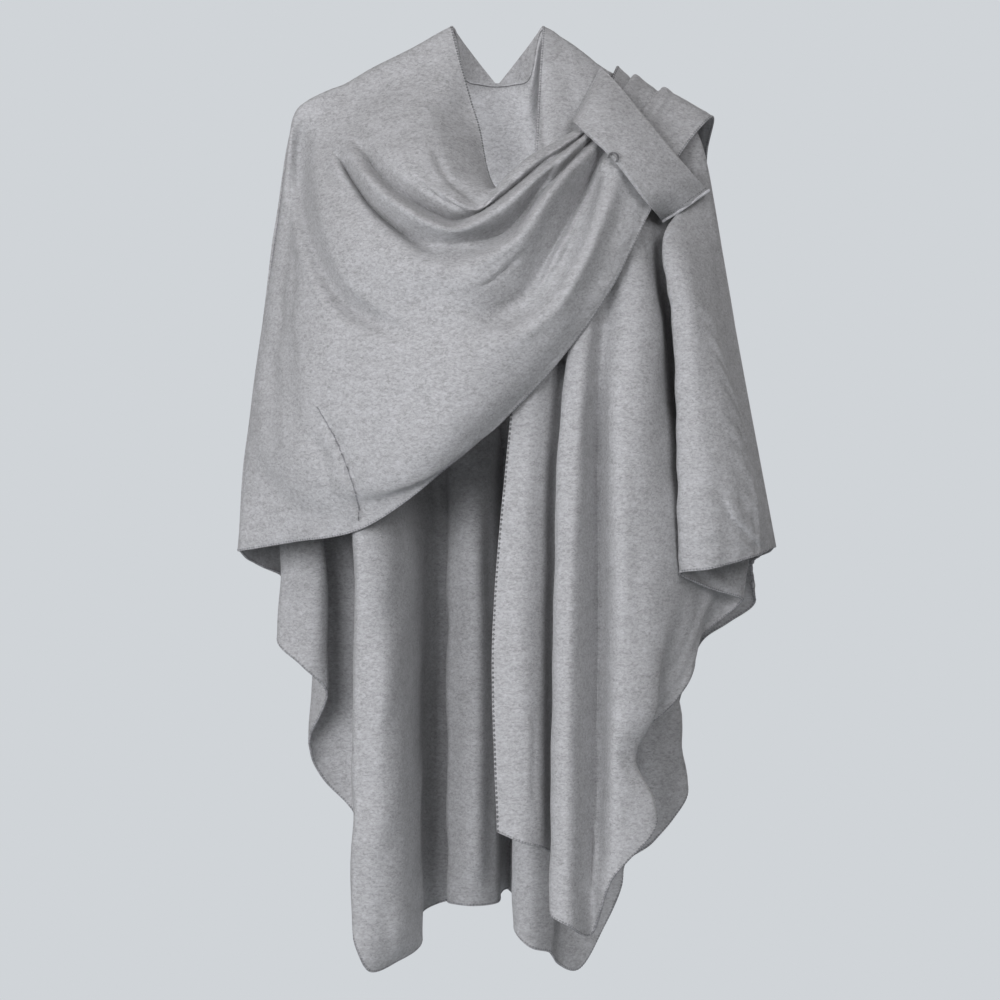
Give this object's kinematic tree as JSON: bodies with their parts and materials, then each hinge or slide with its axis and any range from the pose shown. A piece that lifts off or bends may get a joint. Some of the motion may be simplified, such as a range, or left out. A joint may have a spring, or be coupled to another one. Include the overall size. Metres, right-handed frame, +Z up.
{
  "type": "knitted poncho sweater",
  "caption": "Hollow knitted wrap poncho in its worn form: one front thrown across the chest and under a shoulder strap, open front, V neck and uneven hanging hem.",
  "frame": {"origin": "where the wearer's shoulders hold the garment: midway between them, in the plane of the shoulder and arm seams", "axes": "+X to the wearer's left, +Y out of the wearer's back, +Z up"},
  "size_m": [0.5754, 0.3015, 1.0145],
  "materials": {
    "double_knit": "soft heather knit",
    "thread": "matte"
  },
  "bodies": {
    "root": {"back_panel": "double_knit", "front_right_panel": "double_knit", "front_left_panel": "double_knit", "neck_band": "double_knit", "shoulder_strap": "double_knit", "strap_loop": "thread"}
  },
  "joints": []
}
